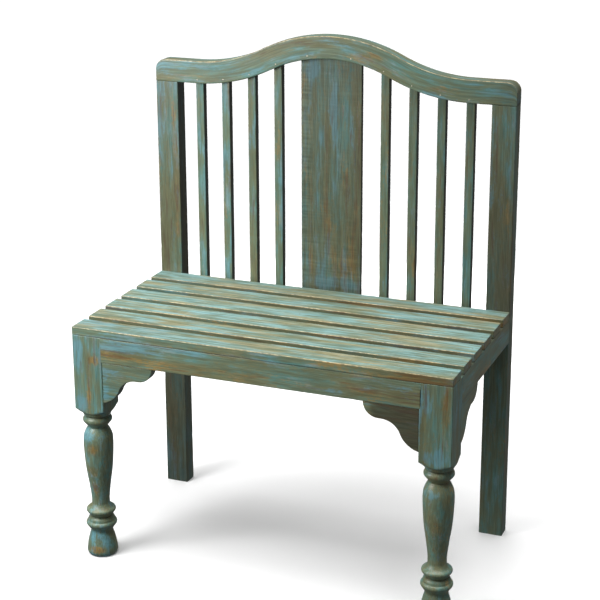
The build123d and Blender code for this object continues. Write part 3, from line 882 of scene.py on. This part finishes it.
def painted_wood():
    """Thin blue-green paint dragged over brown wood, rubbed through in streaks and on arrises, with
    painted shade and painted top light laid in by the tint field.
    """
    t = Tree("distressed_paint")
    grain = t.attribute("grain").outputs["Vector"]
    tint_node = t.attribute("tint")
    tint = t.add("ShaderNodeSeparateColor", {0: tint_node.outputs["Color"]})
    warm, blue, dirt_and_shade = tint.outputs[0], tint.outputs[1], tint.outputs[2]
    pale_and_top_light = tint_node.outputs["Alpha"]
    rub = t.attribute("rub").outputs["Fac"]
    ribs = t.attribute("ribs").outputs["Fac"]

    broad_warm = t.noise(grain, (7.0, 38, 38), 3.1, 3.0, 0.55)
    broad_blue = t.noise(grain, (9.0, 42, 42), 11.7, 3.0, 0.55)
    broad_light = t.noise(grain, (8.0, 34, 34), 23.9, 2.0)
    medium = t.noise(grain, (16, 85, 85), 31.3, 4.0, 0.6)
    streaks = t.noise(grain, (9, 200, 200), 41.7, 3.0, 0.6)
    threads = t.noise(grain, (8, 150, 150), 73.9, 3.0, 0.6)
    hairs = t.noise(grain, (26, 900, 900), 53.3, 2.0, 0.5)
    dabs = t.noise(grain, (120, 210, 210), 61.1, 4.0, 0.65)
    chatter = t.noise(grain, (230, 14, 14), 87.1, 1.0)
    ragged = t.total((medium, 0.6), (streaks, 0.5), (dabs, 0.45), -0.775)

    color = t.mix(t.step(t.total((medium, 1.0), (streaks, 0.4)), 0.58, 0.82), SAGE, TEAL)
    olive = t.step(t.total(broad_warm, ragged, (warm, 1.0)), 0.42, 0.64)
    color = t.mix(t.math("MULTIPLY", olive, 0.78), color, OLIVE)
    ochre = t.step(t.total(broad_light, (ragged, 1.2), (warm, 1.0)), 0.64, 0.90)
    color = t.mix(t.math("MULTIPLY", ochre, 0.75), color, OCHRE)
    sky = t.step(t.total(broad_blue, (ragged, 1.1), (blue, 0.8)), 0.54, 0.80)
    color = t.mix(t.math("MULTIPLY", sky, 0.72), color, SKY)
    bare = t.step(t.total((streaks, 0.8), (medium, 0.4), (broad_warm, 0.4), (warm, 0.4)), 0.86, 1.02)
    color = t.mix(t.math("MULTIPLY", bare, 0.7), color, BROWN)

    dry_brush = t.step(t.total((streaks, 0.6), (medium, 0.5)), 0.44, 0.64)
    creamy = t.step(t.total(threads, (broad_warm, 1.1), -0.55), 0.44, 0.62)
    # pale wash laid by the pale field: dry-brushed streaks, and painted top light on upward faces
    wash_and_top_light_color = t.mix(creamy, PALE_WASH_AND_TOP_LIGHT, PALE_CREAM_AND_TOP_LIGHT)
    wash_and_top_light = t.math("MULTIPLY", pale_and_top_light, t.total((dry_brush, 0.80), 0.20), clamp=True)
    color = t.mix(wash_and_top_light, color, wash_and_top_light_color)
    # dark ground colour laid where the dirt-and-shade field is high: grime, and painted shade
    grime_and_shade_patches = t.step(t.total((ragged, 0.8), (dirt_and_shade, 1.0)), -0.3, 0.5)
    grime_and_shade = t.math("MULTIPLY", dirt_and_shade, grime_and_shade_patches, clamp=True)
    color = t.mix(t.math("MULTIPLY", grime_and_shade, 0.95), color, GROUND_AND_SHADE)

    lines = t.step(t.total((hairs, 0.35), (streaks, 0.4), (medium, 0.25)), 0.40, 0.60)
    rib_patches = t.math("MULTIPLY", ribs, t.step(t.total(broad_light, (ribs, 0.25)), 0.50, 0.66))
    ribbed = t.math("MULTIPLY", rib_patches, t.math("SUBTRACT", chatter, 0.5))
    value = t.total((lines, 0.50), (ribbed, 0.9), 0.72)
    color = t.mix(1.0, color, value, "MULTIPLY")

    worn = t.step(t.total((rub, 0.70), (medium, 0.40), (streaks, 0.25)), 0.86, 1.02)
    worn_color = t.mix(t.step(dabs, 0.40, 0.62), WOOD, CREAM)
    color = t.mix(t.math("MULTIPLY", worn, 0.75), color, worn_color)

    height = t.total((streaks, 0.5), (hairs, 0.35), (dabs, 0.25), (ribbed, 0.8), (worn, -0.25))
    bump = t.add("ShaderNodeBump", {"Strength": 0.35, "Distance": 0.0004, "Height": height})
    roughness = t.total((streaks, 0.22), (worn, 0.12), (grime_and_shade, 0.15), 0.25)
    return t.surface(color, roughness, bump.outputs[0])


def bare_wood():
    """Raw, dusty brown wood on hidden corner blocks, read from the model's own position."""
    t = Tree("bare_wood")
    place = t.add("ShaderNodeNewGeometry").outputs["Position"]
    figure = t.noise(place, (40, 40, 320), 5.5, 4.0, 0.6)
    pores = t.noise(place, (180, 180, 1400), 15.2, 2.0)
    patches = t.noise(place, (22, 22, 22), 25.7, 3.0)
    color = t.mix(t.step(figure, 0.35, 0.65), rgb(92, 70, 46), rgb(134, 104, 68))
    color = t.mix(t.math("MULTIPLY", t.step(pores, 0.55, 0.7), 0.5), color, rgb(58, 44, 30))
    color = t.mix(t.math("MULTIPLY", t.step(patches, 0.5, 0.7), 0.35), color, rgb(120, 118, 96))
    height = t.total((figure, 0.5), (pores, 0.5))
    bump = t.add("ShaderNodeBump", {"Strength": 0.4, "Distance": 0.0004, "Height": height})
    return t.surface(color, t.total((figure, 0.2), 0.6), bump.outputs[0])


def aged_metal(name, dull, bright, metallic, shine):
    """Small fastenings: a dull skin rubbed bright in spots."""
    t = Tree(name)
    place = t.add("ShaderNodeNewGeometry").outputs["Position"]
    spots = t.noise(place, (900, 900, 900), 7.7, 3.0, 0.6)
    patina = t.noise(place, (60, 60, 60), 17.3, 2.0)
    color = t.mix(t.step(t.total((spots, 0.7), (patina, 0.5)), 0.45, 0.75), dull, bright)
    bump = t.add("ShaderNodeBump", {"Strength": 0.25, "Distance": 0.0001, "Height": spots})
    return t.surface(color, t.total((spots, 0.25), shine), bump.outputs[0], metallic)


def pale_floor():
    """Matt, nearly white, with a faint cloudiness."""
    t = Tree("pale_floor")
    place = t.add("ShaderNodeNewGeometry").outputs["Position"]
    soft = t.noise(place, (1.5, 1.5, 1.5), 2.2, 3.0)
    fine = t.noise(place, (220, 220, 220), 9.4, 2.0)
    color = t.mix(t.step(soft, 0.3, 0.7), (0.95, 0.95, 0.95, 1), (0.97, 0.97, 0.97, 1))
    bump = t.add("ShaderNodeBump", {"Strength": 0.02, "Distance": 0.0002, "Height": fine})
    return t.surface(color, 0.75, bump.outputs[0], 0.0, 0.1)


# ================================================================ camera, lights and floor

# The photographer's place and the way that the camera looks, found from the bench's straight edges
CAMERA_PLACE = Vector((1.0807, -2.6810, 1.4797))
CAMERA_YAW, CAMERA_PITCH, CAMERA_ROLL = (math.radians(a) for a in (21.80, 16.35, -0.18))
CAMERA_LENS = 95.39
CAMERA_SHIFT_Y = -0.10


def set_camera():
    """Stands the camera at its place, turned by yaw, pitch and roll."""
    data = bpy.data.cameras.new("camera")
    data.sensor_width = 36.0
    data.lens = CAMERA_LENS
    data.shift_y = CAMERA_SHIFT_Y
    data.clip_start, data.clip_end = 0.05, 60.0
    camera = bpy.data.objects.new("camera", data)
    bpy.context.scene.collection.objects.link(camera)
    ahead = Vector((
        -math.sin(CAMERA_YAW) * math.cos(CAMERA_PITCH),
        math.cos(CAMERA_YAW) * math.cos(CAMERA_PITCH),
        -math.sin(CAMERA_PITCH),
    ))
    right = ahead.cross(UP).normalized()
    above = right.cross(ahead)
    turn = Matrix.Rotation(CAMERA_ROLL, 3, -ahead)
    right, above = turn @ right, turn @ above
    camera.matrix_world = Matrix((
        (right.x, above.x, -ahead.x, CAMERA_PLACE.x),
        (right.y, above.y, -ahead.y, CAMERA_PLACE.y),
        (right.z, above.z, -ahead.z, CAMERA_PLACE.z),
        (0, 0, 0, 1),
    ))
    bpy.context.scene.camera = camera


def softbox(name, place, target, size, power):
    """A rectangular area light at place that points at target."""
    data = bpy.data.lights.new(name, "AREA")
    data.shape = "RECTANGLE"
    data.size, data.size_y = size
    data.energy = power
    lamp = bpy.data.objects.new(name, data)
    lamp.location = place
    lamp.rotation_mode = "QUATERNION"
    lamp.rotation_quaternion = (Vector(target) - Vector(place)).to_track_quat("-Z", "Y")
    bpy.context.scene.collection.objects.link(lamp)
    return lamp


def high_sun(strength, spread, direction):
    """Even light from above, softened by its spread in degrees."""
    data = bpy.data.lights.new("ceiling_light", "SUN")
    data.energy = strength
    data.angle = math.radians(spread)
    lamp = bpy.data.objects.new("ceiling_light", data)
    lamp.rotation_mode = "QUATERNION"
    lamp.rotation_quaternion = Vector(direction).to_track_quat("-Z", "Y")
    bpy.context.scene.collection.objects.link(lamp)


def set_lights():
    """A soft light from above, a key from the front left, and a weak one that shows the back."""
    world = bpy.data.worlds.new("studio")
    world.use_nodes = True
    world.node_tree.nodes["Background"].inputs["Color"].default_value = (1.0, 1.0, 1.0, 1)
    world.node_tree.nodes["Background"].inputs["Strength"].default_value = 0.15
    bpy.context.scene.world = world
    high_sun(3.3, 50, (0.05, 0.08, -1.0))
    softbox("key", (-1.0, -1.0, 1.15), (-0.1, 0.1, 0.6), (0.7, 0.7), 19.5)
    behind = softbox("behind", (-0.4, 1.9, 0.45), (0, 0.2, 0.5), (1.0, 0.6), 13.0)
    behind.visible_glossy = False


def set_floor():
    """A pale floor that reaches far past the view. It doesn't throw its own light on the bench."""
    half, cuts = 30.0, 6
    marks = [half * (2 * i / cuts - 1) for i in range(cuts + 1)]
    points = [(x, y, 0) for y in marks for x in marks]
    row = cuts + 1
    faces = [
        (j * row + i, j * row + i + 1, (j + 1) * row + i + 1, (j + 1) * row + i)
        for j in range(cuts) for i in range(cuts)
    ]
    mesh = bpy.data.meshes.new("floor")
    mesh.from_pydata(points, [], faces)
    mesh.materials.append(pale_floor())
    floor = bpy.data.objects.new("floor", mesh)
    bpy.context.scene.collection.objects.link(floor)
    floor.visible_diffuse = False
    floor.visible_glossy = False


def set_backdrop():
    """A plain pale wall far behind, all the way round, that only the camera sees."""
    t = Tree("pale_backdrop")
    glow = t.add("ShaderNodeEmission", {"Color": (1, 1, 1, 1), "Strength": 1.02})
    output = t.add("ShaderNodeOutputMaterial")
    t.tree.links.new(glow.outputs[0], output.inputs["Surface"])
    sides, radius, height = 48, 29.0, 30.0
    turns = [math.tau * i / sides for i in range(sides)]
    points = [(radius * math.cos(a), radius * math.sin(a), z) for z in (-0.5, height) for a in turns]
    faces = [(i, (i + 1) % sides, sides + (i + 1) % sides, sides + i) for i in range(sides)]
    mesh = bpy.data.meshes.new("backdrop")
    mesh.from_pydata(points, [], faces)
    mesh.materials.append(t.material)
    wall = bpy.data.objects.new("backdrop", mesh)
    bpy.context.scene.collection.objects.link(wall)
    wall.visible_diffuse = False
    wall.visible_glossy = False
    wall.visible_shadow = False


# ================================================================ the bench

PAINT = painted_wood()
BARE = bare_wood()
PAINTED_BRAD = aged_metal("painted_brads", rgb(96, 112, 98), rgb(176, 178, 160), 0.3, 0.35)
BRIGHT_BRAD = aged_metal("bright_brads", rgb(176, 170, 146), rgb(238, 232, 214), 0.6, 0.25)
SCREW = aged_metal("screw_steel", rgb(110, 108, 100), rgb(180, 178, 170), 0.9, 0.30)


def between(node, left, right, along):
    """A member's box, cut to run just into the members on either side of it."""
    low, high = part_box(node)
    low[along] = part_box(left)[1][along] - SHOULDER_SINK
    high[along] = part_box(right)[0][along] + SHOULDER_SINK
    return low, high


def build_seat():
    for i in range(1, 7):
        node = f"seat_slat_{i}"
        board(node, *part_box(node), X, SLAT_EASING)
    board("seat_bearer", *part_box("seat_bearer"), Y, FRAME_EASING)


def build_frame():
    apron = between("front_apron", "front_leg_left", "front_leg_right", X)
    board("front_apron", *apron, X, FRAME_EASING)
    rail = between("rear_rail", "rear_post_left", "rear_post_right", X)
    board("rear_rail", *rail, X, FRAME_EASING)
    for side in ("left", "right"):
        node = "side_apron_" + side
        apron = between(node, "front_leg_" + side, "rear_post_" + side, Y)
        board(node, *apron, Y, FRAME_EASING)
        turned_leg("front_leg_" + side)


def build_back():
    for side in ("left", "right"):
        node = "rear_post_" + side
        low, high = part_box(node)
        high.z = CREST_LOW.z
        board(node, low, high, Z, POST_EASING, POST_END_EASING)
    for i in range(1, 9):
        node = f"spindle_{i}"
        board(node, *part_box(node), Z, FRAME_EASING)
    board("back_splat", *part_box("back_splat"), Z, FRAME_EASING)
    crest_rail()


def build_brackets():
    apron_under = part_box("front_apron")[0].z
    for side, sign in (("left", -1), ("right", 1)):
        leg_low, leg_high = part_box("front_leg_" + side)
        node = "bracket_front_" + side
        low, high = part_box(node)
        face = leg_high.x if sign < 0 else leg_low.x
        bracket(node, Vector((face, 0, apron_under)), X, -sign, low.y, high.y)
        node = "bracket_side_" + side
        low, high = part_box(node)
        bracket(node, Vector((0, leg_high.y, apron_under)), Y, 1, low.x, high.x)


def build_fastenings():
    radius = 1.4 * MM
    brad_heads("slat_brads", (0, 0, 1), radius, PAINTED_BRAD)
    brad_heads("crest_brads", (0, -1, 0), radius, BRIGHT_BRAD)


def dress_cad_nodes():
    """Materials for the CAD nodes that stay: hidden blocks, screws and bracket brads."""
    wanted = {"corner_block": BARE, "corner_block_screws": SCREW, "bracket_brads": PAINTED_BRAD}
    for name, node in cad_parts.items():
        if node.hide_render:
            continue
        for prefix in sorted(wanted, key=len):
            if name.startswith(prefix):
                node.data.materials.clear()
                node.data.materials.append(wanted[prefix])


build_seat()
build_frame()
build_back()
build_brackets()
build_fastenings()
dress_cad_nodes()

set_camera()
set_lights()
set_floor()
set_backdrop()
bpy.context.scene.view_settings.view_transform = "Standard"
